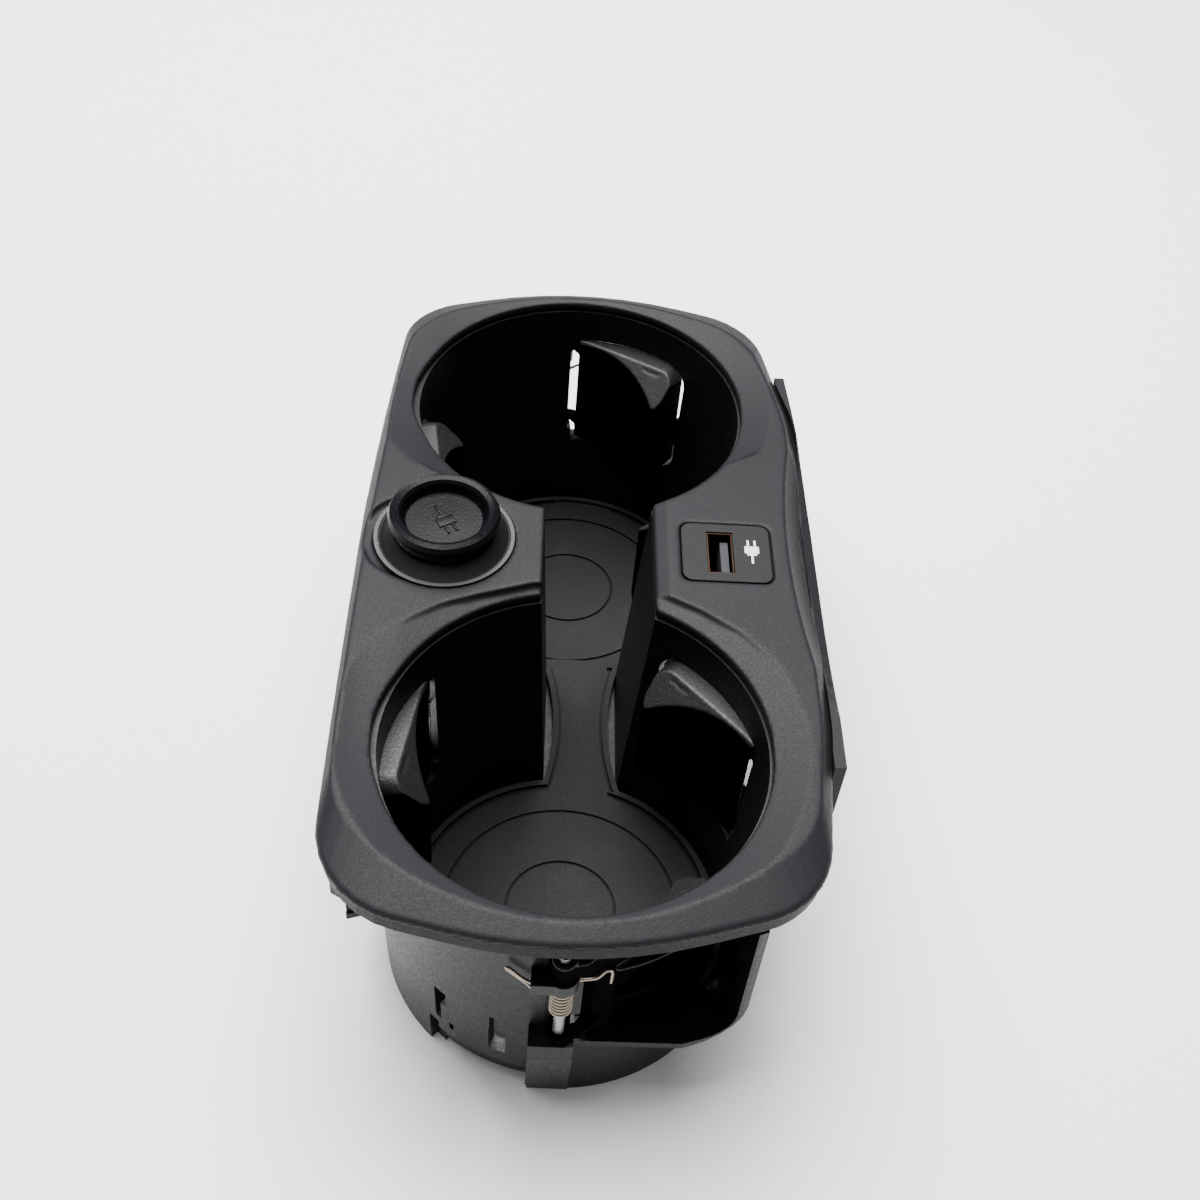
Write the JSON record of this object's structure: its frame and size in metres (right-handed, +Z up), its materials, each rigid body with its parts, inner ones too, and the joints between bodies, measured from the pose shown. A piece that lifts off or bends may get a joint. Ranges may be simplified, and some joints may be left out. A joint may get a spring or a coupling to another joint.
{
  "type": "car cup holder",
  "caption": "Twin car cup holder with sprung grip flaps, a rubber mat, a capped power socket and a USB port.",
  "frame": {"origin": "underside of the channel floor, on the cups' centre line, midway between the cups", "axes": "+X to the right, +Y to the rear cup, +Z up out of the cups"},
  "size_m": [0.1086, 0.2067, 0.0859],
  "materials": {
    "soft_charcoal": "fine grained soft-touch",
    "frame_black": "fine grained",
    "housing_black": "satin, lightly scuffed",
    "mat_rubber": "matte",
    "ring_silver": "satin",
    "collar_black": "satin",
    "barrel_steel": "plain",
    "insulator_cream": "plain",
    "contact_brass": "plain",
    "cap_rubber": "satin",
    "panel_grey": "very fine grained",
    "port_shell": "plated",
    "port_tongue": "plain",
    "module_black": "plain",
    "flap_grey": "coarse grained",
    "pin_steel": "bright",
    "spring_steel": "bright",
    "screw_steel": "zinc plated"
  },
  "bodies": {
    "base": {"bezel": "soft_charcoal", "carrier": "frame_black", "housing": "housing_black", "rubber_mat": "mat_rubber", "side_strip": "soft_charcoal", "socket_ring": "ring_silver", "socket_collar": "collar_black", "socket_barrel": "barrel_steel", "socket_insulator": "insulator_cream", "socket_contact": "contact_brass", "usb_panel": "panel_grey", "usb_shell": "port_shell", "usb_tongue": "port_tongue", "usb_body": "module_black", "pin_front_bay": "pin_steel", "spring_front_bay": "spring_steel", "pin_front_right": "pin_steel", "spring_front_right": "spring_steel", "pin_front_left": "pin_steel", "spring_front_left": "spring_steel", "pin_rear_bay": "pin_steel", "spring_rear_bay": "spring_steel", "pin_rear_right": "pin_steel", "spring_rear_right": "spring_steel", "pin_rear_left": "pin_steel", "spring_rear_left": "spring_steel", "screw_front_left": "screw_steel", "screw_front_right": "screw_steel", "screw_rear_left": "screw_steel", "screw_rear_right": "screw_steel"},
    "flap_front_bay_body": {"flap_front_bay": "flap_grey"},
    "flap_front_right_body": {"flap_front_right": "flap_grey"},
    "flap_front_left_body": {"flap_front_left": "flap_grey"},
    "flap_rear_bay_body": {"flap_rear_bay": "flap_grey"},
    "flap_rear_right_body": {"flap_rear_right": "flap_grey"},
    "flap_rear_left_body": {"flap_rear_left": "flap_grey"},
    "cap_body": {"socket_cap": "cap_rubber"}
  },
  "joints": [
    {"name": "flap_front_bay_hinge", "type": "hinge", "parent": "base", "child": "flap_front_bay_body", "pos_m": [-0.00078, -0.09999, 0.05], "axis": [0, 0, -1], "range_deg": [0, 17], "stiffness_Nm_per_rad": 0.02, "deforming": ["spring_front_bay"]},
    {"name": "flap_front_right_hinge", "type": "hinge", "parent": "base", "child": "flap_front_right_body", "pos_m": [0.04442, -0.04935, 0.05], "axis": [0, 0, -1], "range_deg": [0, 17], "stiffness_Nm_per_rad": 0.02, "deforming": ["spring_front_right"]},
    {"name": "flap_front_left_hinge", "type": "hinge", "parent": "base", "child": "flap_front_left_body", "pos_m": [-0.03277, -0.02465, 0.05], "axis": [0, 0, -1], "range_deg": [0, 17], "stiffness_Nm_per_rad": 0.02, "deforming": ["spring_front_left"]},
    {"name": "flap_rear_bay_hinge", "type": "hinge", "parent": "base", "child": "flap_rear_bay_body", "pos_m": [-0.00468, 0.09975, 0.05], "axis": [0, 0, 1], "range_deg": [0, 17], "stiffness_Nm_per_rad": 0.02, "deforming": ["spring_rear_bay"]},
    {"name": "flap_rear_right_hinge", "type": "hinge", "parent": "base", "child": "flap_rear_right_body", "pos_m": [0.04442, 0.04935, 0.05], "axis": [0, 0, 1], "range_deg": [0, 17], "stiffness_Nm_per_rad": 0.02, "deforming": ["spring_rear_right"]},
    {"name": "flap_rear_left_hinge", "type": "hinge", "parent": "base", "child": "flap_rear_left_body", "pos_m": [-0.03277, 0.02465, 0.05], "axis": [0, 0, 1], "range_deg": [0, 17], "stiffness_Nm_per_rad": 0.02, "deforming": ["spring_rear_left"]},
    {"name": "cap_pull", "type": "slide", "parent": "base", "child": "cap_body", "axis": [0, 0, 1], "range_m": [0, 0.04]}
  ]
}
